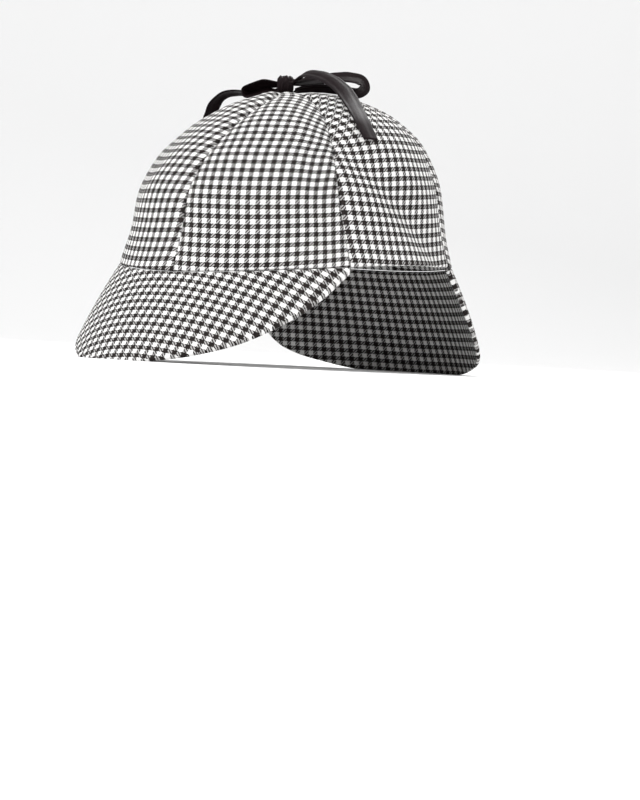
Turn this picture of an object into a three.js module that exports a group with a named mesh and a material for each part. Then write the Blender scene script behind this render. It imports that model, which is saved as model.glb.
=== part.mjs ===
import * as THREE from 'three';

// A deerstalker hat: a six-gore cloth crown, a stiffened peak at the front and at the back, and a satin
// ribbon bow on the top. Millimetres, +Z up, the wearer faces -Y and the wearer's left is +X.
// The hat is first laid out with the rim of the crown level, then set down as it rests on its two peaks.

// ---- driving dimensions -------------------------------------------------------------------------
const HALF_WIDTH = 82.5;        // outside of the crown at the rim, ear to ear
const HALF_LENGTH = 103;        // outside of the crown at the rim, front to back
const CROWN_HEIGHT = 94.1;      // rim to the top of the crown
const CROWN_WALL = 2.0;
const PEAK_WALL = 2.8;
const RIM_RISE = 5.1;           // how much the rim arches up over each ear
const GAP = 0.3;                // between neighbouring pieces
const GORE_ANGLE = 60;          // degrees
const FULLNESS = 0.15;          // share of the puff that stands outside the even dome
const APEX_DIP = 2.6;           // the gores are gathered down under the knot
const APEX_DIP_RADIUS = 13;
const REST_TILT = 2.88;         // degrees forward, as it sits on its two peaks
const REST_SHIFT = { x: -0.03, y: 5.1, z: 56.5 };

// The crown's level sections: rise and reach are fractions of the height and of the rim's half sizes,
// x and y move the middle of the section, puff is how far a gore stands proud of its seams there, lean is
// the degrees by which the two seams at the temples stray back from their even spacing.
const CROWN_SECTIONS = [
  { rise: 0.00, reach: 1.000, x: 0.0, y: 0.0, puff: 0.4, lean: 4 },
  { rise: 0.20, reach: 0.953, x: -1.2, y: 2.5, puff: 1.6, lean: 2.5 },
  { rise: 0.40, reach: 0.922, x: -2.3, y: 5.0, puff: 2.2, lean: 0.5 },
  { rise: 0.60, reach: 0.834, x: -1.4, y: 8.0, puff: 3.0, lean: -1 },
  { rise: 0.75, reach: 0.706, x: 0.6, y: 10.3, puff: 3.6, lean: -2 },
  { rise: 0.87, reach: 0.526, x: 1.8, y: 10.1, puff: 4.0, lean: -3 },
  { rise: 0.95, reach: 0.320, x: 1.5, y: 9.5, puff: 3.6, lean: -3 },
  { rise: 1.00, reach: 0.000, x: -3.0, y: 4.6, puff: 2.0, lean: -3 },
];

// Soft dents in the cloth: each runs in a straight line over the crown from one bearing and rise to
// another; bearing is degrees from the front round to the wearer's left.
const DENTS = [
  { name: 'left side valley', bearing0: 54, rise0: 0.88, bearing1: 107, rise1: 0.02, depth: 4.4, width: 11 },
  { name: 'front left hollow', bearing0: 50, rise0: 0.72, bearing1: 54, rise1: 0.16, depth: 1.8, width: 8 },
  { name: 'front right slack', bearing0: -24, rise0: 0.78, bearing1: -44, rise1: 0.22, depth: 1.3, width: 12 },
  { name: 'right side valley', bearing0: -64, rise0: 0.80, bearing1: -100, rise1: 0.10, depth: 2.4, width: 13 },
  { name: 'back left slack', bearing0: 136, rise0: 0.74, bearing1: 158, rise1: 0.14, depth: 1.6, width: 13 },
  { name: 'back right slack', bearing0: -132, rise0: 0.70, bearing1: -156, rise1: 0.18, depth: 1.8, width: 12 },
];

// Each peak: half angle it spans at the rim, fan is how fast its ribs spread against that angle, bow is
// how far its middle is arched; then sections across it from the wearer's right (-1) to the left (+1).
const FRONT_PEAK = {
  middle: 0, halfAngle: 59.4, fan: 0.24, bow: 1.2,
  sections: [
    { across: -1.00, length: 3.0, droop: 53.0 },
    { across: -0.90, length: 27.5, droop: 53.4 },
    { across: -0.75, length: 44.0, droop: 53.8 },
    { across: -0.55, length: 55.2, droop: 53.4 },
    { across: -0.30, length: 60.2, droop: 50.6 },
    { across: 0.00, length: 62.2, droop: 47.2 },
    { across: 0.30, length: 60.2, droop: 45.2 },
    { across: 0.55, length: 53.8, droop: 44.2 },
    { across: 0.75, length: 41.0, droop: 43.2 },
    { across: 0.90, length: 23.5, droop: 42.4 },
    { across: 1.00, length: 3.0, droop: 42.0 },
  ],
};
const BACK_PEAK = {
  middle: 180, halfAngle: 60, fan: 0.62, bow: 1.4,
  sections: [
    { across: -1.00, length: 3.0, droop: 65.5 },
    { across: -0.90, length: 33.6, droop: 66.4 },
    { across: -0.75, length: 52.4, droop: 67.0 },
    { across: -0.55, length: 60.0, droop: 66.6 },
    { across: -0.30, length: 64.6, droop: 65.8 },
    { across: 0.00, length: 65.2, droop: 66.0 },
    { across: 0.30, length: 64.6, droop: 65.8 },
    { across: 0.55, length: 60.0, droop: 66.6 },
    { across: 0.75, length: 52.4, droop: 67.0 },
    { across: 0.90, length: 33.6, droop: 66.4 },
    { across: 1.00, length: 3.0, droop: 65.5 },
  ],
};

// The ribbon. Across and along are measured on the plan from the top of the crown, to the wearer's left
// and to the back; lift is above the cloth; roll is degrees the ribbon turns about its own length; the
// two loops keep their width along one heading on the plan, the tails lie flat on the cloth.
const RIBBON_THICK = 0.9;
const RIBBON_CUP = 0.35;          // the edges of the ribbon curl under by this much
const BOW = [
  { name: 'bow_loop_left', steps: 34, heading: -54, rows: [
    { across: 2.0, along: 0.6, lift: 6.1, roll: 30, width: 5.4 },
    { across: 6.6, along: 3.6, lift: 7.6, roll: 34, width: 7.4 },
    { across: 11.7, along: 8.9, lift: 9.8, roll: 36, width: 9.0 },
    { across: 17.3, along: 14.3, lift: 11.8, roll: 36, width: 9.4 },
    { across: 21.9, along: 19.0, lift: 13.0, roll: 38, width: 9.4 },
    { across: 25.3, along: 22.3, lift: 12.8, roll: 40, width: 9.4 },
    { across: 27.4, along: 22.6, lift: 10.4, roll: 40, width: 9.4 },
    { across: 26.7, along: 20.0, lift: 7.0, roll: 34, width: 9.4 },
    { across: 23.3, along: 14.8, lift: 4.9, roll: 28, width: 9.4 },
    { across: 17.4, along: 9.2, lift: 3.9, roll: 26, width: 9.0 },
    { across: 10.4, along: 4.4, lift: 3.4, roll: 24, width: 7.4 },
    { across: 2.4, along: 0.9, lift: 2.9, roll: 22, width: 5.2 },
  ] },
  { name: 'bow_loop_right', steps: 24, heading: -54, rows: [
    { across: -6.9, along: -5.4, lift: 7.3, roll: 28, width: 5.4 },
    { across: -11.6, along: -7.4, lift: 7.8, roll: 32, width: 7.8 },
    { across: -16.3, along: -9.8, lift: 8.2, roll: 32, width: 9.2 },
    { across: -20.8, along: -11.8, lift: 7.6, roll: 26, width: 9.4 },
    { across: -21.0, along: -11.8, lift: 5.2, roll: 22, width: 9.4 },
    { across: -16.0, along: -9.4, lift: 4.0, roll: 22, width: 9.0 },
    { across: -11.0, along: -7.4, lift: 3.5, roll: 20, width: 7.6 },
    { across: -7.0, along: -5.5, lift: 3.2, roll: 18, width: 5.2 },
  ] },
  { name: 'bow_tail_left', steps: 24, rows: [
    { across: 1.7, along: -1.4, lift: 9.6, roll: 18, width: 5.2 },
    { across: 8.4, along: -2.2, lift: 11.0, roll: 22, width: 8.0 },
    { across: 16.1, along: -0.2, lift: 10.0, roll: 26, width: 10.2 },
    { across: 23.3, along: 0.8, lift: 8.0, roll: 24, width: 10.8 },
    { across: 31.0, along: 0.0, lift: 5.6, roll: 18, width: 10.8 },
    { across: 38.5, along: -3.4, lift: 3.6, roll: 10, width: 10.8 },
    { across: 46.0, along: -8.0, lift: 2.3, roll: 2, width: 10.8 },
    { across: 54.1, along: -12.6, lift: 2.0, roll: 0, width: 10.8 },
    { across: 61.5, along: -14.8, lift: 2.0, roll: 0, width: 10.2 },
  ] },
  { name: 'bow_tail_right', steps: 26, rows: [
    { across: -8.8, along: 3.2, lift: 2.6, roll: 0, width: 4.6 },
    { across: -16.4, along: 1.4, lift: 2.4, roll: 0, width: 6.6 },
    { across: -23.4, along: -1.6, lift: 3.4, roll: 0, width: 8.0 },
    { across: -29.4, along: -6.0, lift: 7.6, roll: 8, width: 9.2 },
    { across: -34.0, along: -9.4, lift: 9.8, roll: 14, width: 9.6 },
    { across: -39.0, along: -10.8, lift: 9.0, roll: 14, width: 9.6 },
    { across: -44.6, along: -9.6, lift: 6.2, roll: 6, width: 9.6 },
    { across: -50.8, along: -6.4, lift: 3.6, roll: 0, width: 9.6 },
    { across: -56.4, along: -3.4, lift: 2.2, roll: 0, width: 9.6 },
    { across: -61.5, along: 1.6, lift: 2.0, roll: 0, width: 9.6 },
  ] },
];
const KNOT = { across: -2.7, along: -2.7, lift: 6.3, halfAcross: 4.6, halfAlong: 5.0, halfTall: 5.2, turn: 36, waist: 0.08, fold: 0.05 };

// ---- smooth reading of the tables -----------------------------------------------------------------
// Monotone cubic through the rows of a table.
function read(rows, by, column, at) {
  const n = rows.length;
  const x = (i) => rows[i][by];
  const y = (i) => (typeof column === 'function' ? column(rows[i]) : rows[i][column]);
  if (at <= x(0)) return y(0);
  if (at >= x(n - 1)) return y(n - 1);
  let k = 0;
  while (k < n - 2 && at > x(k + 1)) k += 1;
  const slope = (i) => (y(i + 1) - y(i)) / (x(i + 1) - x(i));
  const tangent = (i) => {
    if (i === 0) return slope(0);
    if (i === n - 1) return slope(n - 2);
    const a = slope(i - 1);
    const b = slope(i);
    if (a * b <= 0) return 0;
    const ha = x(i) - x(i - 1);
    const hb = x(i + 1) - x(i);
    const wa = 2 * hb + ha;
    const wb = hb + 2 * ha;
    return (wa + wb) / (wa / a + wb / b);
  };
  const h = x(k + 1) - x(k);
  const s = (at - x(k)) / h;
  const s2 = s * s;
  const s3 = s2 * s;
  return (2 * s3 - 3 * s2 + 1) * y(k) + (s3 - 2 * s2 + s) * h * tangent(k)
    + (3 * s2 - 2 * s3) * y(k + 1) + (s3 - s2) * h * tangent(k + 1);
}

const RAD = Math.PI / 180;
const vec = (x, y, z) => new THREE.Vector3(x, y, z);

// ---- the crown's outside ---------------------------------------------------------------------------
// angles in radians from the front to the wearer's left, rise from 0 at the rim to 1 at the top
function sectionReach(rise) {
  return Math.sqrt(Math.max(0, read(CROWN_SECTIONS, 'rise', (row) => row.reach * row.reach, rise)));
}

// angle counts the gores evenly, 60 degrees each; the bearing it falls on strays near the temple seams
function bearingOf(angle, rise) {
  const degrees = ((angle / RAD) % 360 + 360) % 360;
  const left = Math.max(0, 1 - Math.abs(degrees - 60) / 60);
  const right = Math.max(0, 1 - Math.abs(degrees - 300) / 60);
  return angle + (left - right) * read(CROWN_SECTIONS, 'rise', 'lean', rise) * RAD;
}

function crownBase(angle, rise) {
  const bearing = bearingOf(angle, rise);
  const reach = sectionReach(rise);
  const side = Math.sin(bearing) ** 2 - 0.75;
  return vec(
    HALF_WIDTH * Math.sin(bearing) * reach + read(CROWN_SECTIONS, 'rise', 'x', rise),
    -HALF_LENGTH * Math.cos(bearing) * reach + read(CROWN_SECTIONS, 'rise', 'y', rise),
    CROWN_HEIGHT * rise + RIM_RISE * side * (1 - rise) ** 2,
  );
}

function crownNormal(bearing, rise) {
  const low = Math.max(0, rise - 0.004);
  const high = Math.min(0.9996, rise + 0.004);
  const at = Math.min(rise, 0.9996);
  const round = crownBase(bearing + 0.01, at).sub(crownBase(bearing - 0.01, at));
  const up = crownBase(bearing, high).sub(crownBase(bearing, low));
  return round.cross(up).normalize();
}

// distance from a point of the crown to a dent's line, measured on the bearing and rise chart
function dentDepth(bearing, rise) {
  let depth = 0;
  for (const dent of DENTS) {
    const scaleRound = 92 * RAD * Math.max(0.35, sectionReach(rise));
    const scaleUp = CROWN_HEIGHT * 1.15;
    let turn = bearing / RAD - dent.bearing0;
    turn -= 360 * Math.round(turn / 360);
    const px = turn * scaleRound;
    const py = (rise - dent.rise0) * scaleUp;
    const qx = (dent.bearing1 - dent.bearing0) * scaleRound;
    const qy = (dent.rise1 - dent.rise0) * scaleUp;
    const s = Math.min(1, Math.max(0, (px * qx + py * qy) / (qx * qx + qy * qy)));
    const away = Math.hypot(px - s * qx, py - s * qy) / dent.width;
    const ends = Math.sin(Math.PI * Math.min(1, Math.max(0, 0.12 + 0.76 * s))) ** 0.6;
    depth += dent.depth * ends * Math.exp(-away * away);
  }
  return depth;
}

// how far the cloth stands off the even dome: gores are full between their seams
function fullness(bearing, rise) {
  const inGore = (bearing / (GORE_ANGLE * RAD)) - Math.floor(bearing / (GORE_ANGLE * RAD));
  const side = Math.abs(2 * inGore - 1);
  const puff = read(CROWN_SECTIONS, 'rise', 'puff', rise);
  return puff * (FULLNESS - side ** 2.6) - dentDepth(bearing, rise);
}

function crownOuter(bearing, rise) {
  const point = crownBase(bearing, rise);
  const normal = crownNormal(bearing, rise);
  point.addScaledVector(normal, fullness(bearing, rise));
  const apex = crownBase(0, 1);
  const away = Math.hypot(point.x - apex.x, point.y - apex.y) / APEX_DIP_RADIUS;
  point.z -= APEX_DIP * Math.exp(-away * away);
  return point;
}

function crownInner(bearing, rise) {
  return crownOuter(bearing, rise).addScaledVector(crownNormal(bearing, rise), -CROWN_WALL);
}

// ---- closed thin shells ------------------------------------------------------------------------------
// outer and inner are grids of points [i][j]; the outer face's normal is (step in i) x (step in j)
function shell(outer, inner) {
  const ni = outer.length;
  const nj = outer[0].length;
  const positions = [];
  for (const grid of [outer, inner]) {
    for (let i = 0; i < ni; i += 1) {
      for (let j = 0; j < nj; j += 1) positions.push(grid[i][j].x, grid[i][j].y, grid[i][j].z);
    }
  }
  const o = (i, j) => i * nj + j;
  const n = (i, j) => ni * nj + i * nj + j;
  const index = [];
  const quad = (a, b, c, d) => index.push(a, b, c, a, c, d);
  for (let i = 0; i < ni - 1; i += 1) {
    for (let j = 0; j < nj - 1; j += 1) {
      quad(o(i, j), o(i + 1, j), o(i + 1, j + 1), o(i, j + 1));
      quad(n(i, j), n(i, j + 1), n(i + 1, j + 1), n(i + 1, j));
    }
  }
  for (let i = 0; i < ni - 1; i += 1) {
    quad(o(i, 0), n(i, 0), n(i + 1, 0), o(i + 1, 0));
    quad(o(i, nj - 1), o(i + 1, nj - 1), n(i + 1, nj - 1), n(i, nj - 1));
  }
  for (let j = 0; j < nj - 1; j += 1) {
    quad(o(0, j), o(0, j + 1), n(0, j + 1), n(0, j));
    quad(o(ni - 1, j), n(ni - 1, j), n(ni - 1, j + 1), o(ni - 1, j + 1));
  }
  const geometry = new THREE.BufferGeometry();
  geometry.setAttribute('position', new THREE.Float32BufferAttribute(positions, 3));
  geometry.setIndex(index);
  return geometry;
}

// sets a point of the level layout down as the hat rests; the cloth edges it stands on are pressed flat
function settle(point) {
  const c = Math.cos(REST_TILT * RAD);
  const s = Math.sin(REST_TILT * RAD);
  const y = point.y * c - point.z * s;
  const z = point.y * s + point.z * c;
  return vec(point.x + REST_SHIFT.x, y + REST_SHIFT.y, Math.max(0, z + REST_SHIFT.z));
}

const grid = (ni, nj, at) => Array.from({ length: ni + 1 }, (_, i) => (
  Array.from({ length: nj + 1 }, (__, j) => settle(at(i / ni, j / nj)))
));

// ---- the six gores -------------------------------------------------------------------------------------
const GORES = [
  { name: 'gore_front_left', from: 0 },
  { name: 'gore_side_left', from: 60 },
  { name: 'gore_back_left', from: 120 },
  { name: 'gore_back_right', from: 180 },
  { name: 'gore_side_right', from: 240 },
  { name: 'gore_front_right', from: 300 },
];
const GORE_COLUMNS = 10;
const GORE_ROWS = 18;
const TOP_RISE = 0.9992;

function goreChart(from, s, v) {
  const rise = Math.min(TOP_RISE, Math.sin(v * Math.PI / 2) ** 0.96);
  const reach = sectionReach(rise);
  // half a gap is left free along each seam
  const edge = (GAP / 2) / (reach * Math.hypot(HALF_WIDTH, HALF_LENGTH) * 0.66);
  const bearing = from * RAD + edge + s * (GORE_ANGLE * RAD - 2 * edge);
  return [bearing, rise];
}

function gore({ from }) {
  const outer = grid(GORE_COLUMNS, GORE_ROWS, (s, v) => crownOuter(...goreChart(from, s, v)));
  const inner = grid(GORE_COLUMNS, GORE_ROWS, (s, v) => crownInner(...goreChart(from, s, v)));
  return shell(outer, inner);
}

// ---- the two peaks ---------------------------------------------------------------------------------------
const PEAK_COLUMNS = 26;
const PEAK_ROWS = 7;

function peakFrame(peak, across, out) {
  const bearing = peak.middle * RAD + peak.halfAngle * RAD * across;
  const facing = peak.middle * RAD + peak.halfAngle * RAD * across * peak.fan;
  const droop = read(peak.sections, 'across', 'droop', across) * RAD;
  const length = read(peak.sections, 'across', 'length', across);
  const root = crownBase(bearing, 0);
  root.addScaledVector(crownNormal(bearing, 0), fullness(bearing, 0));
  root.z -= GAP;
  const along = vec(Math.sin(facing) * Math.cos(droop), -Math.cos(facing) * Math.cos(droop), -Math.sin(droop));
  const normal = vec(Math.sin(facing) * Math.sin(droop), -Math.cos(facing) * Math.sin(droop), Math.cos(droop));
  const arch = peak.bow * (length / 65) * 4 * out * (1 - out);
  const point = root.addScaledVector(along, length * out).addScaledVector(normal, arch);
  return { point, normal };
}

// across runs from one corner to the other, closer together towards the corners
const spread = (s) => Math.sin((2 * s - 1) * 1.3) / Math.sin(1.3);

function peak(spec) {
  // the face that shows from above is the outer one; its rim is eased over towards the under side
  const top = (s, v) => peakFrame(spec, spread(s), v).point;
  const under = (s, v) => {
    const { point, normal } = peakFrame(spec, spread(s), v);
    return point.addScaledVector(normal, -PEAK_WALL);
  };
  // runs from the free edge up to the crown, so that the upper face looks outwards
  const outer = grid(PEAK_COLUMNS, PEAK_ROWS, (s, v) => top(s, 1 - v));
  const inner = grid(PEAK_COLUMNS, PEAK_ROWS, (s, v) => under(s, 1 - v));
  return shell(outer, inner);
}

// ---- the bow -----------------------------------------------------------------------------------------------
// the outside of the crown above a place on the plan
function onCrown(across, along, lift) {
  const apex = crownBase(0, 1);
  const goal = { x: apex.x + across, y: apex.y + along };
  let x = goal.x;
  let y = goal.y;
  let point = null;
  let normal = null;
  for (let turn = 0; turn < 6; turn += 1) {
    let low = 0;
    let high = 1;
    for (let k = 0; k < 26; k += 1) {
      const rise = (low + high) / 2;
      const dx = (x - read(CROWN_SECTIONS, 'rise', 'x', rise)) / HALF_WIDTH;
      const dy = (y - read(CROWN_SECTIONS, 'rise', 'y', rise)) / HALF_LENGTH;
      if (Math.hypot(dx, dy) > sectionReach(rise)) high = rise; else low = rise;
    }
    const rise = Math.min(0.9996, (low + high) / 2);
    const bearing = Math.atan2(
      (x - read(CROWN_SECTIONS, 'rise', 'x', rise)) / HALF_WIDTH,
      -(y - read(CROWN_SECTIONS, 'rise', 'y', rise)) / HALF_LENGTH,
    );
    const angle = bearing - (bearingOf(bearing, rise) - bearing);
    point = crownOuter(angle, rise);
    normal = crownNormal(angle, rise);
    x += goal.x - point.x;
    y += goal.y - point.y;
  }
  return { point: point.addScaledVector(normal, lift), normal };
}

// one length of ribbon: a thin strip swept along its rows
function ribbon({ steps, rows, heading }) {
  const places = rows.map((row) => onCrown(row.across, row.along, row.lift));
  const curve = new THREE.CatmullRomCurve3(places.map((place) => place.point), false, 'centripetal');
  const outer = [];
  const inner = [];
  for (let k = 0; k <= steps; k += 1) {
    const u = k / steps;
    const at = u * (rows.length - 1);
    const low = Math.min(rows.length - 2, Math.floor(at));
    const f = at - low;
    const roll = (rows[low].roll * (1 - f) + rows[low + 1].roll * f) * RAD;
    const width = rows[low].width * (1 - f) + rows[low + 1].width * f;
    const point = curve.getPoint(u);
    const ahead = curve.getTangent(u);
    // across the ribbon: level along the loop's own heading, or flat on the cloth under a tail
    const wide = heading === undefined
      ? places[low].normal.clone().multiplyScalar(1 - f).addScaledVector(places[low + 1].normal, f).cross(ahead)
      : vec(Math.cos(heading * RAD), Math.sin(heading * RAD), 0);
    wide.addScaledVector(ahead, -wide.dot(ahead)).normalize();
    wide.applyAxisAngle(ahead, roll);
    const thin = ahead.clone().cross(wide).normalize();
    const strip = (side) => [-1, 0, 1].map((j) => settle(point.clone()
      .addScaledVector(wide, (j * width) / 2)
      .addScaledVector(thin, side * (RIBBON_THICK / 2) - (j === 0 ? 0 : RIBBON_CUP))));
    outer.push(strip(1));
    inner.push(strip(-1));
  }
  return shell(outer, inner);
}

// the knot: a short fat wrap of ribbon, fuller in the middle than at its ends
function knot() {
  const { halfAcross, halfAlong, halfTall, lift, turn } = KNOT;
  const centre = onCrown(KNOT.across, KNOT.along, lift).point;
  const rings = 10;
  const around = 16;
  const positions = [];
  const put = (p) => positions.push(p.x, p.y, p.z);
  const place = (a, b) => {
    // a runs pole to pole along the knot's own axis, b around it
    const round = Math.sin(a) ** 0.42;
    const x = -Math.cos(a) * halfAcross;
    const waist = 1 - KNOT.waist * Math.exp(-(((x / halfAcross) / 0.34) ** 2)) + KNOT.fold * Math.sin(3 * b + 0.8);
    const local = vec(x, Math.cos(b) * round * halfAlong * waist, Math.sin(b) * round * halfTall * waist);
    local.applyAxisAngle(vec(0, 0, 1), turn * RAD);
    return settle(centre.clone().add(local));
  };
  put(place(0, 0));
  for (let i = 1; i < rings; i += 1) for (let j = 0; j < around; j += 1) put(place((i / rings) * Math.PI, (j / around) * 2 * Math.PI));
  put(place(Math.PI, 0));
  const last = positions.length / 3 - 1;
  const at = (i, j) => 1 + (i - 1) * around + (j % around);
  const index = [];
  for (let j = 0; j < around; j += 1) {
    index.push(0, at(1, j + 1), at(1, j));
    index.push(last, at(rings - 1, j), at(rings - 1, j + 1));
    for (let i = 1; i < rings - 1; i += 1) {
      index.push(at(i, j), at(i, j + 1), at(i + 1, j + 1), at(i, j), at(i + 1, j + 1), at(i + 1, j));
    }
  }
  const geometry = new THREE.BufferGeometry();
  geometry.setAttribute('position', new THREE.Float32BufferAttribute(positions, 3));
  geometry.setIndex(index);
  return geometry;
}

// ---- the hat -------------------------------------------------------------------------------------------------
const hat = new THREE.Group();
hat.name = 'deerstalker_hat';

function add(name, geometry, color, roughness) {
  geometry.computeVertexNormals();
  const material = new THREE.MeshStandardMaterial({ color, roughness, metalness: 0, flatShading: true });
  const mesh = new THREE.Mesh(geometry, material);
  mesh.name = name;
  hat.add(mesh);
}

// black and white checked cloth, seen as one grey
const CLOTH = new THREE.Color(0.36, 0.345, 0.33);
const RIBBON = new THREE.Color(0.035, 0.026, 0.028);

for (const spec of GORES) add(spec.name, gore(spec), CLOTH, 0.92);
add('front_peak', peak(FRONT_PEAK), CLOTH, 0.92);
add('back_peak', peak(BACK_PEAK), CLOTH, 0.92);
add('bow_knot', knot(), RIBBON, 0.4);
for (const spec of BOW) add(spec.name, ribbon(spec), RIBBON, 0.4);

export default hat;
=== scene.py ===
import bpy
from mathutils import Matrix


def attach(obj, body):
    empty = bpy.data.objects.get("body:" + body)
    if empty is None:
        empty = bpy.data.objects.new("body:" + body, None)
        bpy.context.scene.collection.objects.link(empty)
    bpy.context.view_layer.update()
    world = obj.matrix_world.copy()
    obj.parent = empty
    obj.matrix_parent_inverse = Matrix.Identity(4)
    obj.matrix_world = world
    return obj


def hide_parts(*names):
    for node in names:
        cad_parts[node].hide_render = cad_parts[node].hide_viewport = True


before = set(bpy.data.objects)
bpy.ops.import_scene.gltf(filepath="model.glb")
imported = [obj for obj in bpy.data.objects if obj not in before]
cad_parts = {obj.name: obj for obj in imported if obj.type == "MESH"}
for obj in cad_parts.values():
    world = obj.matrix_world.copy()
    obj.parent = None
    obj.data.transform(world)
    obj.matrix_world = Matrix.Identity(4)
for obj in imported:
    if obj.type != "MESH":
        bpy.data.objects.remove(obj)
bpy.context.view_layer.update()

import math
import bpy
import numpy as np
from mathutils import Vector, Matrix, Quaternion

RAD = math.pi / 180

# ---- sizes, in millimetres, the same as the solid model's ------------------------------------------
HALF_WIDTH, HALF_LENGTH, CROWN_HEIGHT = 82.5, 103.0, 94.1
CROWN_WALL, PEAK_WALL, RIM_RISE, GAP = 2.0, 2.8, 5.1, 0.3
FULLNESS, APEX_DIP, APEX_DIP_RADIUS = 0.15, 2.6, 13.0
REST_TILT, REST_SHIFT = 2.88, (-0.03, 5.1, 56.5)
TOP_RISE = 0.9992
REPEAT = 5.2            # one repeat of the check
THREADS = 12            # threads in one repeat, half of them dark

RISE = [0.00, 0.20, 0.40, 0.60, 0.75, 0.87, 0.95, 1.00]
REACH = [1.000, 0.953, 0.922, 0.834, 0.706, 0.526, 0.320, 0.000]
MID_X = [0.0, -1.2, -2.3, -1.4, 0.6, 1.8, 1.5, -3.0]
MID_Y = [0.0, 2.5, 5.0, 8.0, 10.3, 10.1, 9.5, 4.6]
PUFF = [0.4, 1.6, 2.2, 3.0, 3.6, 4.0, 3.6, 2.0]
LEAN = [4.0, 2.5, 0.5, -1.0, -2.0, -3.0, -3.0, -3.0]

# bearing0, rise0, bearing1, rise1, depth, width
DENTS = [
    (54, 0.88, 107, 0.02, 4.4, 11),
    (50, 0.72, 54, 0.16, 1.8, 8),
    (-24, 0.78, -44, 0.22, 1.3, 12),
    (-64, 0.80, -100, 0.10, 2.4, 13),
    (136, 0.74, 158, 0.14, 1.6, 13),
    (-132, 0.70, -156, 0.18, 1.8, 12),
]

PEAK_ACROSS = [-1.00, -0.90, -0.75, -0.55, -0.30, 0.00, 0.30, 0.55, 0.75, 0.90, 1.00]
FRONT = dict(name="front_peak", middle=0, half=59.4, fan=0.24, bow=1.2,
             length=[3.0, 27.5, 44.0, 55.2, 60.2, 62.2, 60.2, 53.8, 41.0, 23.5, 3.0],
             droop=[53.0, 53.4, 53.8, 53.4, 50.6, 47.2, 45.2, 44.2, 43.2, 42.4, 42.0])
BACK = dict(name="back_peak", middle=180, half=60, fan=0.62, bow=1.4,
            length=[3.0, 33.6, 52.4, 60.0, 64.6, 65.2, 64.6, 60.0, 52.4, 33.6, 3.0],
            droop=[65.5, 66.4, 67.0, 66.6, 65.8, 66.0, 65.8, 66.6, 67.0, 66.4, 65.5])


def reader(xs, ys):
    """Monotone cubic through a table."""
    x, y = np.asarray(xs, float), np.asarray(ys, float)
    n = len(x)
    d = np.diff(y) / np.diff(x)
    m = np.zeros(n)
    m[0], m[-1] = d[0], d[-1]
    for i in range(1, n - 1):
        a, b = d[i - 1], d[i]
        if a * b > 0:
            ha, hb = x[i] - x[i - 1], x[i + 1] - x[i]
            wa, wb = 2 * hb + ha, hb + 2 * ha
            m[i] = (wa + wb) / (wa / a + wb / b)

    def read(at):
        at = np.clip(np.asarray(at, float), x[0], x[-1])
        k = np.clip(np.searchsorted(x, at, side="left") - 1, 0, n - 2)
        h = x[k + 1] - x[k]
        s = (at - x[k]) / h
        return ((2 * s**3 - 3 * s**2 + 1) * y[k] + (s**3 - 2 * s**2 + s) * h * m[k]
                + (3 * s**2 - 2 * s**3) * y[k + 1] + (s**3 - s**2) * h * m[k + 1])

    return read


reach2 = reader(RISE, np.array(REACH) ** 2)
mid_x, mid_y, puff_at, lean_at = (reader(RISE, t) for t in (MID_X, MID_Y, PUFF, LEAN))


def reach(w):
    return np.sqrt(np.maximum(0, reach2(w)))


def bearing_of(a, w):
    deg = np.mod(a / RAD, 360)
    left = np.maximum(0, 1 - np.abs(deg - 60) / 60)
    right = np.maximum(0, 1 - np.abs(deg - 300) / 60)
    return a + (left - right) * lean_at(w) * RAD


def crown_base(a, w):
    t, r = bearing_of(a, w), reach(w)
    return np.stack([HALF_WIDTH * np.sin(t) * r + mid_x(w),
                     -HALF_LENGTH * np.cos(t) * r + mid_y(w),
                     CROWN_HEIGHT * w + RIM_RISE * (np.sin(t) ** 2 - 0.75) * (1 - w) ** 2], -1)


def unit(v):
    return v / np.linalg.norm(v, axis=-1, keepdims=True)


def crown_normal(a, w):
    lo, hi, at = np.maximum(0, w - 0.004), np.minimum(0.9996, w + 0.004), np.minimum(w, 0.9996)
    return unit(np.cross(crown_base(a + 0.01, at) - crown_base(a - 0.01, at), crown_base(a, hi) - crown_base(a, lo)))


def dent_depth(a, w):
    depth = np.zeros(np.broadcast(a, w).shape)
    for b0, r0, b1, r1, deep, wide in DENTS:
        sr, su = 92 * RAD * np.maximum(0.35, reach(w)), CROWN_HEIGHT * 1.15
        turn = a / RAD - b0
        turn = turn - 360 * np.round(turn / 360)
        px, py, qx, qy = turn * sr, (w - r0) * su, (b1 - b0) * sr, (r1 - r0) * su
        s = np.clip((px * qx + py * qy) / (qx * qx + qy * qy), 0, 1)
        away = np.hypot(px - s * qx, py - s * qy) / wide
        depth += deep * np.sin(np.pi * np.clip(0.12 + 0.76 * s, 0, 1)) ** 0.6 * np.exp(-away * away)
    return depth


def fullness(a, w):
    g = a / (60 * RAD)
    side = np.abs(2 * (g - np.floor(g)) - 1)
    return puff_at(w) * (FULLNESS - side**2.6) - dent_depth(a, w)


APEX = crown_base(np.zeros(1), np.ones(1))[0]


def crown_outer(a, w):
    a, w = np.broadcast_arrays(np.asarray(a, float), np.asarray(w, float))
    p = crown_base(a, w) + crown_normal(a, w) * fullness(a, w)[..., None]
    away = np.hypot(p[..., 0] - APEX[0], p[..., 1] - APEX[1]) / APEX_DIP_RADIUS
    p[..., 2] -= APEX_DIP * np.exp(-away * away)
    return p


def settle(p):
    c, s = math.cos(REST_TILT * RAD), math.sin(REST_TILT * RAD)
    q = np.stack([p[..., 0] + REST_SHIFT[0],
                  p[..., 1] * c - p[..., 2] * s + REST_SHIFT[1],
                  np.maximum(0.02, p[..., 1] * s + p[..., 2] * c + REST_SHIFT[2])], -1)
    return q


# ---- meshes ---------------------------------------------------------------------------------------------
def strip_quads(first, second, flip=False):
    q = np.stack([first[:-1], first[1:], second[1:], second[:-1]], -1)
    return q[:, ::-1] if flip else q


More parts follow.
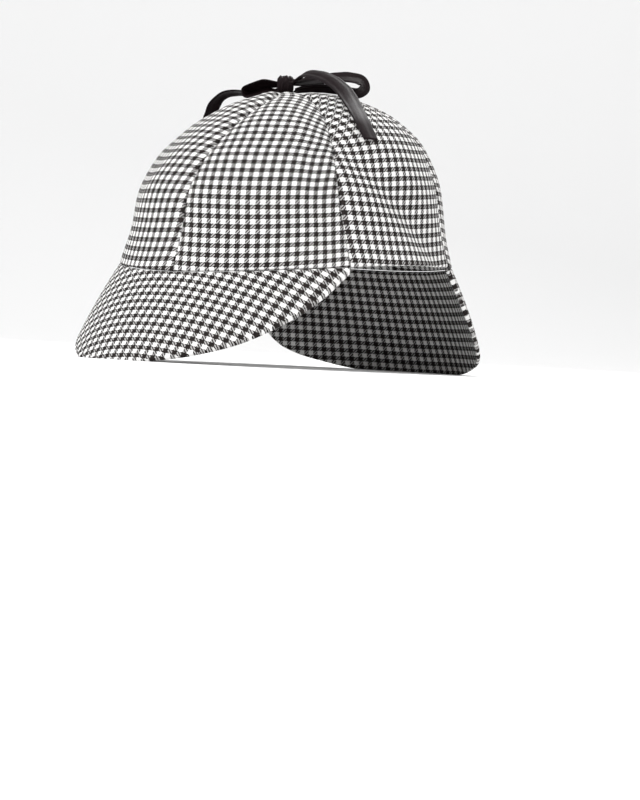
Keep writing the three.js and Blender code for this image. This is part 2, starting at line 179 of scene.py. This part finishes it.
def shell_object(name, outer, inner, uv, rim_uv=None, layout=(0.62, 0.33)):
    """A closed thin shell from two grids of points, with cloth coordinates in mm and a bake layout."""
    ni, nj = outer.shape[:2]
    n = ni * nj
    verts = np.concatenate([outer.reshape(-1, 3), inner.reshape(-1, 3)]) / 1000
    o = np.arange(n).reshape(ni, nj)
    b = o + n
    fo = np.stack([o[:-1, :-1], o[1:, :-1], o[1:, 1:], o[:-1, 1:]], -1).reshape(-1, 4)
    fi = np.stack([b[:-1, :-1], b[:-1, 1:], b[1:, 1:], b[1:, :-1]], -1).reshape(-1, 4)
    rims = [strip_quads(b[:, 0], o[:, 0]), strip_quads(o[:, -1], b[:, -1]),
            strip_quads(o[0, :], b[0, :]), strip_quads(b[-1, :], o[-1, :])]
    rim_kind = np.concatenate([np.full(len(r), k) for k, r in enumerate(rims)])
    fr = np.concatenate(rims)
    faces = np.concatenate([fo, fi, fr])
    me = bpy.data.meshes.new(name)
    me.from_pydata(verts.tolist(), [], faces.tolist())
    flat = faces.reshape(-1)
    base = flat % n
    cloth = uv.reshape(-1, 2)[base].copy()
    # the turned edge shows the cloth running a little further on
    is_inner = flat >= n
    # bake layout: outer face, inner face, and four edge strips side by side
    gi, gj = base // nj, base % nj
    si = (gi / (ni - 1)).astype(float)
    sj = (gj / (nj - 1)).astype(float)
    w_out, w_in = layout
    bake = np.zeros((len(flat), 2))
    nf_o, nf_i = len(fo) * 4, len(fi) * 4
    so = slice(0, nf_o)
    bake[so, 0], bake[so, 1] = 0.004 + si[so] * (w_out - 0.012), 0.004 + sj[so] * 0.992
    s2 = slice(nf_o, nf_o + nf_i)
    bake[s2, 0], bake[s2, 1] = w_out + 0.004 + si[s2] * (w_in - 0.012), 0.004 + sj[s2] * 0.992
    s3 = slice(nf_o + nf_i, None)
    kind = np.repeat(rim_kind, 4)
    run = np.where(kind < 2, si[s3], sj[s3])
    wide = (1 - w_out - w_in) / 4
    inn = is_inner[s3].astype(float)
    bake[s3, 0] = w_out + w_in + kind * wide + wide * (0.1 + 0.8 * inn)
    bake[s3, 1] = 0.004 + run * 0.992
    thick = np.linalg.norm(outer - inner, axis=-1).reshape(-1)[base[s3]]
    shift = inn * thick
    c3 = cloth[s3]
    c3[:, 1] -= np.where(kind == 0, shift, 0)
    c3[:, 1] += np.where(kind == 1, shift, 0)
    c3[:, 0] -= np.where(kind == 2, shift, 0)
    c3[:, 0] += np.where(kind == 3, shift, 0)
    cloth[s3] = c3
    for layer, data in (("UVMap", cloth / 100.0), ("OFBake", bake)):
        lay = me.uv_layers.new(name=layer)
        lay.data.foreach_set("uv", data.astype(np.float32).reshape(-1))
    me.polygons.foreach_set("use_smooth", np.ones(len(faces), bool))
    me.update()
    ob = bpy.data.objects.new(name, me)
    bpy.context.scene.collection.objects.link(ob)
    return ob


def close_to_edges(n, eps=(0.0, 0.0022, 0.0055, 0.0095, 0.015, 0.022)):
    mid = np.linspace(0.032, 0.968, n)
    e = np.array(eps)
    return np.concatenate([e, mid, 1 - e[::-1]])


def rounded(d, r):
    """How far a rounded edge of radius r falls away at distance d from the edge."""
    x = np.clip(r - d, 0, r)
    return r - np.sqrt(np.maximum(0, r * r - x * x))


def ripple(x, y, seed):
    """Slight unevenness of soft cloth, in mm."""
    rng = np.random.default_rng(seed)
    z = np.zeros_like(x)
    for _ in range(7):
        k = 2 * np.pi / rng.uniform(22, 60)
        a = rng.uniform(0, np.pi)
        z += rng.uniform(0.4, 1.0) * np.sin(k * (x * np.cos(a) + y * np.sin(a)) + rng.uniform(0, 6.28))
    return z / 7


GORES = [("gore_front_left", 0), ("gore_side_left", 60), ("gore_back_left", 120),
         ("gore_back_right", 180), ("gore_side_right", 240), ("gore_front_right", 300)]


def gore(name, start, seed):
    s = close_to_edges(66)
    v = np.concatenate([[0, 0.002, 0.005, 0.009, 0.014, 0.02], np.linspace(0.028, 1, 118)])
    S, V = np.meshgrid(s, v, indexing="ij")
    w = np.minimum(TOP_RISE, np.sin(V * np.pi / 2) ** 0.96)
    edge = (GAP / 2) / (reach(w) * math.hypot(HALF_WIDTH, HALF_LENGTH) * 0.66)
    a = start * RAD + edge + S * (60 * RAD - 2 * edge)
    P, N = crown_outer(a, w), crown_normal(a, w)
    # cloth coordinates: across from the gore's middle, up along its middle
    step = np.linalg.norm(np.diff(P, axis=0), axis=-1)
    run = np.concatenate([np.zeros((1, P.shape[1])), np.cumsum(step, 0)])
    centre = np.array([np.interp(0.5, s, run[:, j]) for j in range(run.shape[1])])
    X = run - centre
    mid = P[len(s) // 2]
    Y = np.concatenate([[0], np.cumsum(np.linalg.norm(np.diff(mid, axis=0), axis=-1))])
    Y = np.broadcast_to(Y, X.shape)
    from_seam = np.minimum(run, run[-1:] - run)
    from_rim = Y
    fade = np.clip(from_seam / 8, 0, 1)
    rise = 0.55 * ripple(X, Y, seed) * fade
    rise = rise - 0.75 * np.exp(-(from_seam / 2.4) ** 2) - 0.8 * rounded(from_seam, 0.9)
    rise = rise + 0.16 * np.sin(2 * np.pi * Y / 8.3 + seed) * np.exp(-((from_seam - 3.0) / 2.6) ** 2)
    rise = rise - 0.7 * rounded(from_rim, 0.8)
    keep = 0.6 * rounded(from_seam, 0.9) + 0.6 * rounded(from_rim, 0.8)
    outer = P + N * rise[..., None]
    inner = P - N * (CROWN_WALL - keep + np.maximum(0, -rise) * 0.25)[..., None]
    # rows bow very slightly, as cloth eased into a seam does
    UV = np.stack([X + 1.3, Y - 0.0009 * X**2 + 2.0 * (seed % 3)], -1)
    return shell_object(name, settle(outer), settle(inner), UV)


def peak(spec, seed):
    length_at, droop_at = reader(PEAK_ACROSS, spec["length"]), reader(PEAK_ACROSS, spec["droop"])
    n = 190
    s = np.linspace(0, 1, n)
    u = np.sin((2 * s - 1) * 1.3) / math.sin(1.3)
    v = np.concatenate([np.linspace(0, 0.955, 46), [0.965, 0.975, 0.983, 0.989, 0.994, 0.9975, 1.0]])[::-1]
    U, V = np.meshgrid(u, v, indexing="ij")
    a = spec["middle"] * RAD + spec["half"] * RAD * U
    facing = spec["middle"] * RAD + spec["half"] * RAD * U * spec["fan"]
    d, L = droop_at(U) * RAD, length_at(U)
    z0 = np.zeros_like(a)
    root = crown_base(a, z0) + crown_normal(a, z0) * fullness(a, z0)[..., None]
    root[..., 2] -= GAP
    A = np.stack([np.sin(facing) * np.cos(d), -np.cos(facing) * np.cos(d), -np.sin(d)], -1)
    N = np.stack([np.sin(facing) * np.sin(d), -np.cos(facing) * np.sin(d), np.cos(d)], -1)
    P = root + A * (L * V)[..., None] + N * (spec["bow"] * (L / 65) * 4 * V * (1 - V))[..., None]
    if spec["middle"] == 0:
        m = 48 * RAD
        X, Y = P[..., 0] * 1.03, -(P[..., 1] * math.cos(m) + P[..., 2] * math.sin(m))
    else:
        row = P[:, len(v) // 2]
        X = np.concatenate([[0], np.cumsum(np.linalg.norm(np.diff(row, axis=0), axis=-1))])
        X = np.broadcast_to((X - X[-1] / 2)[:, None], U.shape)
        Y = L * V
    from_edge = L * (1 - V)
    rise = 0.3 * ripple(P[..., 0] * 0.8, L * V, seed) * np.clip(from_edge / 10, 0, 1) * np.clip(L * V / 10, 0, 1)
    # the edge is turned and stitched: a shallow groove 2.6 mm in, and the edge itself is round
    rise = rise - 0.30 * np.exp(-((from_edge - 2.7) / 0.55) ** 2) - 1.0 * rounded(from_edge, 1.25)
    under = 1.0 * rounded(from_edge, 1.25) + 0.25 * np.exp(-((from_edge - 2.7) / 0.55) ** 2)
    rise = rise - 0.6 * rounded(L * V, 0.9)
    outer = P + N * rise[..., None]
    inner = P - N * (PEAK_WALL - under)[..., None]
    UV = np.stack([X + 0.7, Y + 1.1], -1)
    return shell_object(spec["name"], settle(outer), settle(inner), UV)


# ---- the ribbon -------------------------------------------------------------------------------------------
def on_crown(across, along, lift):
    goal = APEX[:2] + np.array([across, along])
    q = goal.copy()
    for _ in range(6):
        lo, hi = 0.0, 1.0
        for _k in range(26):
            w = (lo + hi) / 2
            if np.hypot((q[0] - mid_x(w)) / HALF_WIDTH, (q[1] - mid_y(w)) / HALF_LENGTH) > reach(w):
                hi = w
            else:
                lo = w
        w = min(0.9996, (lo + hi) / 2)
        b = np.arctan2((q[0] - mid_x(w)) / HALF_WIDTH, -(q[1] - mid_y(w)) / HALF_LENGTH)
        a = b - (bearing_of(b, w) - b)
        p, n = crown_outer(a, w), crown_normal(np.asarray(a), np.asarray(w))
        q = q + goal - p[:2]
    return p + n * lift, n


# across, along, lift, roll, width
BOW = {
    "bow_loop_left": (-54, [
        (2, 0.6, 6.1, 30, 5.4), (6.6, 3.6, 7.6, 34, 7.4), (11.7, 8.9, 9.8, 36, 9), (17.3, 14.3, 11.8, 36, 9.4),
        (21.9, 19, 13, 38, 9.4), (25.3, 22.3, 12.8, 40, 9.4), (27.4, 22.6, 10.4, 40, 9.4), (26.7, 20, 7, 34, 9.4),
        (23.3, 14.8, 4.9, 28, 9.4), (17.4, 9.2, 3.9, 26, 9), (10.4, 4.4, 3.4, 24, 7.4), (2.4, 0.9, 2.9, 22, 5.2)]),
    "bow_loop_right": (-54, [
        (-6.9, -5.4, 7.3, 28, 5.4), (-11.6, -7.4, 7.8, 32, 7.8), (-16.3, -9.8, 8.2, 32, 9.2), (-20.8, -11.8, 7.6, 26, 9.4),
        (-21, -11.8, 5.2, 22, 9.4), (-16, -9.4, 4, 22, 9), (-11, -7.4, 3.5, 20, 7.6), (-7, -5.5, 3.2, 18, 5.2)]),
    "bow_tail_left": (None, [
        (1.7, -1.4, 9.6, 18, 5.2), (8.4, -2.2, 11, 22, 8), (16.1, -0.2, 10, 26, 10.2), (23.3, 0.8, 8, 24, 10.8),
        (31, 0, 5.6, 18, 10.8), (38.5, -3.4, 3.6, 10, 10.8), (46, -8, 2.3, 2, 10.8), (54.1, -12.6, 2, 0, 10.8),
        (61.5, -14.8, 2, 0, 10.2)]),
    "bow_tail_right": (None, [
        (-8.8, 3.2, 2.6, 0, 4.6), (-16.4, 1.4, 2.4, 0, 6.6), (-23.4, -1.6, 3.4, 0, 8), (-29.4, -6, 7.6, 8, 9.2),
        (-34, -9.4, 9.8, 14, 9.6), (-39, -10.8, 9, 14, 9.6), (-44.6, -9.6, 6.2, 6, 9.6), (-50.8, -6.4, 3.6, 0, 9.6),
        (-56.4, -3.4, 2.2, 0, 9.6), (-61.5, 1.6, 2, 0, 9.6)]),
}


def centripetal(points, u):
    """Centripetal Catmull-Rom through the points, u from 0 to 1, evenly in the number of points."""
    p = np.asarray(points, float)
    n = len(p)
    at = np.clip(u, 0, 1) * (n - 1)
    k = min(int(at), n - 2)
    t = at - k
    p1, p2 = p[k], p[k + 1]
    p0 = p[k - 1] if k > 0 else 2 * p1 - p2
    p3 = p[k + 2] if k + 2 < n else 2 * p2 - p1
    d0, d1, d2 = (max(1e-4, np.linalg.norm(b - a) ** 0.5) for a, b in ((p0, p1), (p1, p2), (p2, p3)))
    t1 = (p1 - p0) / d0 - (p2 - p0) / (d0 + d1) + (p2 - p1) / d1
    t2 = (p2 - p1) / d1 - (p3 - p1) / (d1 + d2) + (p3 - p2) / d2
    t1, t2 = t1 * d1, t2 * d1
    c2, c3 = -3 * p1 + 3 * p2 - 2 * t1 - t2, 2 * p1 - 2 * p2 + t1 + t2
    return p1 + t1 * t + c2 * t * t + c3 * t**3


def tucked(row, by=2.6):
    """One more row, a little way into the knot."""
    goal = np.array([KNOT["across"], KNOT["along"], KNOT["lift"]])
    here = np.array(row[:3], float)
    here = here + unit(goal - here) * by
    return (*here, row[3], min(row[4], 5.6))


def ribbon(name, heading, rows, seed):
    rng = np.random.default_rng(seed)
    rows = [(*r[:4], min(9.6, r[4] + 1.8)) if r[4] < 9.2 else r for r in rows]
    rows = [tucked(rows[0])] + list(rows) + ([tucked(rows[-1])] if heading is not None else [])
    places = [on_crown(*r[:3]) for r in rows]
    pts, nrm = [p for p, _ in places], [n for _, n in places]
    steps, cols = ((150, 18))
    us = np.linspace(0, 1, steps + 1)
    mid = np.array([centripetal(pts, u) for u in us])
    ahead = unit(np.gradient(mid, axis=0))
    outer, inner, uv = [], [], []
    run = np.concatenate([[0], np.cumsum(np.linalg.norm(np.diff(mid, axis=0), axis=-1))])
    fold = rng.uniform(-0.3, 0.3, 3)
    for k, u in enumerate(us):
        at = u * (len(rows) - 1)
        i = min(len(rows) - 2, int(at))
        f = at - i
        roll = (rows[i][3] * (1 - f) + rows[i + 1][3] * f) * RAD
        width = rows[i][4] * (1 - f) + rows[i + 1][4] * f
        t = ahead[k]
        if heading is None:
            wide = np.cross(nrm[i] * (1 - f) + nrm[i + 1] * f, t)
        else:
            wide = np.array([math.cos(heading * RAD), math.sin(heading * RAD), 0.0])
        wide = unit(wide - t * np.dot(wide, t))
        wide = wide * math.cos(roll) + np.cross(t, wide) * math.sin(roll)
        thin = unit(np.cross(t, wide))
        j = np.linspace(-1, 1, cols + 1)
        j = np.sign(j) * np.abs(j) ** 0.9
        pinch = 1 - np.clip((width - 5.0) / 3.4, 0, 1)
        cup = -0.35 * j**2
        crease = (0.28 * np.sin(5.2 * j + 3 * fold[0] + run[k] * 0.05) + 0.10 * np.sin(11 * j + run[k] * 0.11)) * (0.30 + 0.9 * pinch)
        body = np.where(np.abs(j) > 0.93, 0.62, 0.45)
        thick = 0.90 * body
        thick = np.where(np.abs(j) >= 0.999, 0.08, thick)
        wav = 1 + 0.02 * np.sin(run[k] * 0.8 + seed)
        centre_line = mid[k] + wide[None, :] * (j * width / 2 * wav)[:, None] + thin[None, :] * (cup + crease)[:, None]
        outer.append(centre_line + thin * thick[:, None])
        inner.append(centre_line - thin * thick[:, None])
        uv.append(np.stack([np.full(cols + 1, run[k]), j * width / 2], -1))
    return shell_object(name, settle(np.array(outer)), settle(np.array(inner)), np.array(uv), layout=(0.45, 0.45))


KNOT = dict(across=-2.7, along=-2.7, lift=6.3, half=(4.6, 5.0, 5.2), turn=36)


def knot():
    """A snug wrap: the ribbon goes round the middle once, its folds running with it."""
    centre, _ = on_crown(KNOT["across"], KNOT["along"], KNOT["lift"])
    rings, around = ((72, 110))
    ha, hl, ht = KNOT["half"]
    a = np.linspace(0.02, np.pi - 0.02, rings + 1)
    b = np.linspace(0, 2 * np.pi, around + 1)[:-1]
    A, B = np.meshgrid(a, b, indexing="ij")
    rnd = np.sin(A) ** 0.42
    x = -np.cos(A) * ha
    folds = 0.05 * np.sin(9.0 * x / ha + 1.6 * np.sin(B + 0.6)) + 0.03 * np.sin(17 * x / ha + 2.2 * np.sin(B * 2))
    lump = 0.05 * np.sin(3 * B + 0.8) - 0.07 * np.exp(-((x / ha / 0.34) ** 2))
    k = rnd * (1 + folds + lump)
    y, z = np.cos(B) * k * hl, np.sin(B) * k * ht
    c, s = math.cos(KNOT["turn"] * RAD), math.sin(KNOT["turn"] * RAD)
    P = np.stack([x * c - y * s, x * s + y * c, z], -1) + centre
    P = settle(P) / 1000
    n = around
    verts = P.reshape(-1, 3).tolist()
    caps = [P[0].mean(0).tolist(), P[-1].mean(0).tolist()]
    verts += caps
    c0, c1 = len(verts) - 2, len(verts) - 1
    faces = []
    for i in range(rings):
        for j in range(n):
            faces.append((i * n + j, i * n + (j + 1) % n, (i + 1) * n + (j + 1) % n, (i + 1) * n + j))
    for j in range(n):
        faces.append((c0, (j + 1) % n, j))
        faces.append((c1, rings * n + j, rings * n + (j + 1) % n))
    me = bpy.data.meshes.new("bow_knot")
    me.from_pydata(verts, [], faces)
    bake, cloth = [], []
    for f in faces:
        js = [v % n if v < c0 else None for v in f]
        wrap = any(q == 0 for q in js if q is not None) and any(q == n - 1 for q in js if q is not None)
        for v, q in zip(f, js):
            if q is None:
                q2 = np.mean([qq for qq in js if qq is not None]) if not wrap else n - 0.5
                row = 0 if v == c0 else rings
                bake.append((0.01 + 0.98 * q2 / n, 0.005 if v == c0 else 0.995))
            else:
                q2 = q + n if (wrap and q == 0) else q
                row = v // n
                bake.append((0.01 + 0.98 * q2 / n, 0.02 + 0.96 * row / rings))
            cloth.append((q2 / n * 30.0 / 100, -math.cos(math.pi * row / rings) * ha / 100))
    for layer, data in (("UVMap", cloth), ("OFBake", bake)):
        lay = me.uv_layers.new(name=layer)
        lay.data.foreach_set("uv", np.array(data, np.float32).reshape(-1))
    me.polygons.foreach_set("use_smooth", np.ones(len(faces), bool))
    me.update()
    ob = bpy.data.objects.new("bow_knot_look", me)
    bpy.context.scene.collection.objects.link(ob)
    return ob


# ---- materials -----------------------------------------------------------------------------------------------
class Nodes:
    def __init__(self, name):
        self.mat = bpy.data.materials.new(name)
        self.mat.use_nodes = True
        self.t = self.mat.node_tree
        self.bsdf = self.t.nodes["Principled BSDF"]

    def link(self, a, b):
        self.t.links.new(a, b)

    def put(self, socket, value):
        if isinstance(value, (int, float)):
            socket.default_value = value
        else:
            self.link(value, socket)

    def math(self, op, a, b=None, c=None, clamp=False):
        n = self.t.nodes.new("ShaderNodeMath")
        n.operation = op
        n.use_clamp = clamp
        for k, x in enumerate((a, b, c)):
            if x is not None:
                self.put(n.inputs[k], x)
        return n.outputs[0]

    def mix(self, f, a, b):
        n = self.t.nodes.new("ShaderNodeMix")
        n.data_type = "RGBA"
        self.put(n.inputs[0], f)
        for k, x in ((6, a), (7, b)):
            if isinstance(x, tuple):
                n.inputs[k].default_value = (*x, 1)
            else:
                self.link(x, n.inputs[k])
        return n.outputs[2]

    def noise(self, vector, scale, detail=2.0):
        n = self.t.nodes.new("ShaderNodeTexNoise")
        n.inputs["Scale"].default_value = scale
        n.inputs["Detail"].default_value = detail
        self.link(vector, n.inputs["Vector"])
        return n.outputs[0]

    def uv(self):
        n = self.t.nodes.new("ShaderNodeUVMap")
        n.uv_map = "UVMap"
        return n.outputs[0]

    def bump(self, height, strength, distance, normal=None):
        n = self.t.nodes.new("ShaderNodeBump")
        n.inputs["Strength"].default_value = strength
        n.inputs["Distance"].default_value = distance
        self.link(height, n.inputs["Height"])
        if normal is not None:
            self.link(normal, n.inputs["Normal"])
        return n.outputs[0]


def checked_cloth():
    """Shepherd's check in a 2/2 twill: bands of dark and light threads both ways."""
    m = Nodes("checked_cloth")
    uv = m.uv()
    obj = m.t.nodes.new("ShaderNodeTexCoord").outputs["Object"]
    sep = m.t.nodes.new("ShaderNodeSeparateXYZ")
    m.link(uv, sep.inputs[0])
    wob = m.math("MULTIPLY_ADD", m.noise(obj, 55.0, 2.0), 0.55, -0.275)
    wob2 = m.math("MULTIPLY_ADD", m.noise(obj, 48.0, 1.0), 0.5, -0.25)
    per_mm = THREADS / REPEAT
    tx = m.math("ADD", m.math("MULTIPLY_ADD", sep.outputs[0], 100.0 * per_mm, 1200.0), wob)
    ty = m.math("ADD", m.math("MULTIPLY_ADD", sep.outputs[1], 100.0 * per_mm, 1200.0), wob2)
    i, j = m.math("FLOOR", tx), m.math("FLOOR", ty)
    fx, fy = m.math("FRACT", tx), m.math("FRACT", ty)
    warp_over = m.math("LESS_THAN", m.math("MODULO", m.math("ADD", m.math("SUBTRACT", i, j), 4000.0), 4.0), 1.5)
    dark_warp = m.math("LESS_THAN", m.math("MODULO", i, float(THREADS)), THREADS / 2 - 0.5)
    dark_weft = m.math("LESS_THAN", m.math("MODULO", j, float(THREADS)), THREADS / 2 - 0.5)
    dark = m.math("ADD", m.math("MULTIPLY", warp_over, dark_warp),
                  m.math("MULTIPLY", m.math("SUBTRACT", 1.0, warp_over), dark_weft))
    # threads vary a little from one to the next, and the light yarn is very slightly warm
    vary = m.noise(obj, 420.0, 2.0)
    cell = m.t.nodes.new("ShaderNodeTexWhiteNoise")
    cell.noise_dimensions = "2D"
    comb = m.t.nodes.new("ShaderNodeCombineXYZ")
    m.link(i, comb.inputs[0])
    m.link(m.math("FLOOR", m.math("MULTIPLY", j, 0.25)), comb.inputs[1])
    m.link(comb.outputs[0], cell.inputs["Vector"])
    light = m.mix(m.math("MULTIPLY", cell.outputs[0], 0.6), (0.76, 0.76, 0.75), (0.64, 0.63, 0.62))
    inky = m.mix(m.math("MULTIPLY", cell.outputs[0], 0.8), (0.004, 0.003, 0.003), (0.014, 0.010, 0.009))
    # where a light thread crosses dark ones, their fibres show through
    across = m.math("ABSOLUTE", m.math("SUBTRACT", dark_warp, dark_weft))
    light = m.mix(m.math("MULTIPLY", across, 0.60), light, (0.13, 0.12, 0.12))
    colour = m.mix(dark, light, inky)
    # painted shade: the colour is darkened in the hollow between threads, where shade falls
    round_x = m.math("SUBTRACT", 1.0, m.math("POWER", m.math("ABSOLUTE", m.math("MULTIPLY_ADD", fx, 2.0, -1.0)), 2.5))
    round_y = m.math("SUBTRACT", 1.0, m.math("POWER", m.math("ABSOLUTE", m.math("MULTIPLY_ADD", fy, 2.0, -1.0)), 2.5))
    thread = m.math("ADD", m.math("MULTIPLY", warp_over, round_x),
                    m.math("MULTIPLY", m.math("SUBTRACT", 1.0, warp_over), round_y))
    colour = m.mix(m.math("MULTIPLY_ADD", thread, -0.22, 0.22), colour, (0.03, 0.026, 0.024))
    colour = m.mix(m.math("MULTIPLY", vary, 0.05), colour, (0.20, 0.18, 0.17))
    m.link(colour, m.bsdf.inputs["Base Color"])
    m.bsdf.inputs["Roughness"].default_value = 0.86
    m.bsdf.inputs["Specular IOR Level"].default_value = 0.07
    m.bsdf.inputs["Sheen Weight"].default_value = 0.02
    m.bsdf.inputs["Sheen Roughness"].default_value = 0.5
    b1 = m.bump(thread, 0.35, 0.00012)
    b2 = m.bump(m.noise(obj, 900.0, 3.0), 0.25, 0.00012, b1)
    b3 = m.bump(m.noise(obj, 90.0, 3.0), 0.25, 0.0006, b2)
    m.link(b3, m.bsdf.inputs["Normal"])
    return m.mat


def satin():
    m = Nodes("satin_ribbon")
    uv = m.uv()
    obj = m.t.nodes.new("ShaderNodeTexCoord").outputs["Object"]
    sep = m.t.nodes.new("ShaderNodeSeparateXYZ")
    m.link(uv, sep.inputs[0])
    ribs = m.math("SINE", m.math("MULTIPLY", sep.outputs[0], 100.0 * 2 * math.pi / 0.32))
    vary = m.noise(obj, 160.0, 3.0)
    colour = m.mix(vary, (0.004, 0.002, 0.0025), (0.013, 0.008, 0.009))
    # the woven edge of the ribbon
    edge = m.math("GREATER_THAN", m.math("ABSOLUTE", sep.outputs[1]), 0.0388)
    colour = m.mix(m.math("MULTIPLY", edge, 0.5), colour, (0.008, 0.006, 0.007))
    m.link(colour, m.bsdf.inputs["Base Color"])
    rough = m.math("MULTIPLY_ADD", vary, 0.14, 0.40)
    m.link(rough, m.bsdf.inputs["Roughness"])
    m.bsdf.inputs["Specular IOR Level"].default_value = 0.07
    m.bsdf.inputs["Sheen Weight"].default_value = 0.0
    b1 = m.bump(ribs, 0.10, 0.00005)
    b2 = m.bump(m.noise(obj, 240.0, 3.0), 0.22, 0.0004, b1)
    m.link(b2, m.bsdf.inputs["Normal"])
    return m.mat


CLOTH, SATIN = checked_cloth(), satin()


def finish_piece(ob, node, mat):
    ob.name = node + "_look"
    ob.data.materials.append(mat)
    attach(ob, "root")
    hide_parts(node)


for k, (name, start) in enumerate(GORES):
    finish_piece(gore(name, start, 11 + k), name, CLOTH)
finish_piece(peak(FRONT, 31), "front_peak", CLOTH)
finish_piece(peak(BACK, 37), "back_peak", CLOTH)
for k, (name, (heading, rows)) in enumerate(BOW.items()):
    finish_piece(ribbon(name, heading, rows, 51 + k), name, SATIN)
finish_piece(knot(), "bow_knot", SATIN)

# ---- studio -----------------------------------------------------------------------------------------------------
def plain(name, colour, rough=0.9):
    mat = bpy.data.materials.new(name)
    mat.use_nodes = True
    b = mat.node_tree.nodes["Principled BSDF"]
    b.inputs["Base Color"].default_value = (*colour, 1)
    b.inputs["Roughness"].default_value = rough
    return mat


AZ = 36.13
view = Vector((math.sin(AZ * RAD), -math.cos(AZ * RAD), 0))
side = Vector((math.cos(AZ * RAD), math.sin(AZ * RAD), 0))

# floor that sweeps up into a backdrop behind the hat
profile = [(-3.0, 0.0), (1.6, 0.0)]
profile += [(1.6 + 0.9 * math.sin(q * math.pi / 2 / 16), 0.9 - 0.9 * math.cos(q * math.pi / 2 / 16)) for q in range(1, 17)]
profile += [(2.5, 4.0)]
verts, faces = [], []
for d, z in profile:
    for w in (-5.0, 5.0):
        p = -view * d + side * w
        verts.append((p.x, p.y, z))
for q in range(len(profile) - 1):
    faces.append((2 * q, 2 * q + 1, 2 * q + 3, 2 * q + 2))
me = bpy.data.meshes.new("floor")
me.from_pydata(verts, [], faces)
me.polygons.foreach_set("use_smooth", np.ones(len(faces), bool))
floor = bpy.data.objects.new("floor", me)
bpy.context.scene.collection.objects.link(floor)
me.materials.append(plain("floor_pale", (0.92, 0.92, 0.92)))

world = bpy.data.worlds.new("studio")
bpy.context.scene.world = world
world.use_nodes = True
world.node_tree.nodes["Background"].inputs[0].default_value = (1, 1, 1, 1)
world.node_tree.nodes["Background"].inputs[1].default_value = 0.72


def area(name, place, size, power, target=(0, 0, 0.08)):
    data = bpy.data.lights.new(name, "AREA")
    data.shape = "DISK"
    data.size = size
    data.energy = power
    ob = bpy.data.objects.new(name, data)
    ob.location = place
    ob.rotation_euler = (Vector(target) - Vector(place)).to_track_quat("-Z", "Y").to_euler()
    bpy.context.scene.collection.objects.link(ob)
    return ob


area("key", view * 0.9 - side * 0.75 + Vector((0, 0, 1.15)), 0.55, 25)
area("fill", view * 1.0 + side * 1.1 + Vector((0, 0, 0.55)), 0.9, 8)
area("rim", -view * 0.9 + side * 0.5 + Vector((0, 0, 1.1)), 0.6, 12)

bpy.context.scene.view_settings.view_transform = "Standard"

# ---- camera ---------------------------------------------------------------------------------------------------------
DIST, PX_PER_MM, ROLL, CAM_Z = 1.6, 1.834, 3.1, 0.014
rim_mid = Vector((REST_SHIFT[0], REST_SHIFT[1], REST_SHIFT[2])) / 1000
loc = rim_mid + view * DIST
loc.z = CAM_Z
cam_data = bpy.data.cameras.new("camera")
cam_data.sensor_width = 36.0
f_px = PX_PER_MM * DIST * 1000
cam_data.lens = f_px * 36.0 / 800.0
cam_data.clip_start = 0.05
cam_data.clip_end = 50
cam = bpy.data.objects.new("camera", cam_data)
bpy.context.scene.collection.objects.link(cam)
cam.location = loc
to = (rim_mid - loc).normalized()
rot = to.to_track_quat("-Z", "Y")
# put the middle of the rim where the picture has it, then roll about the line of sight
dx, dy = (288.4 - 320.0), (263.1 - 400.0)
r = math.radians(-ROLL)
ux, uy = dx * math.cos(r) - dy * math.sin(r), dx * math.sin(r) + dy * math.cos(r)
yaw, pitch = math.atan(-ux / f_px), math.atan(uy / f_px)
q = rot @ Quaternion((0, 1, 0), -yaw) @ Quaternion((1, 0, 0), pitch) @ Quaternion((0, 0, 1), math.radians(ROLL))
cam.rotation_euler = q.to_euler()
bpy.context.scene.camera = cam

bpy.context.view_layer.update()
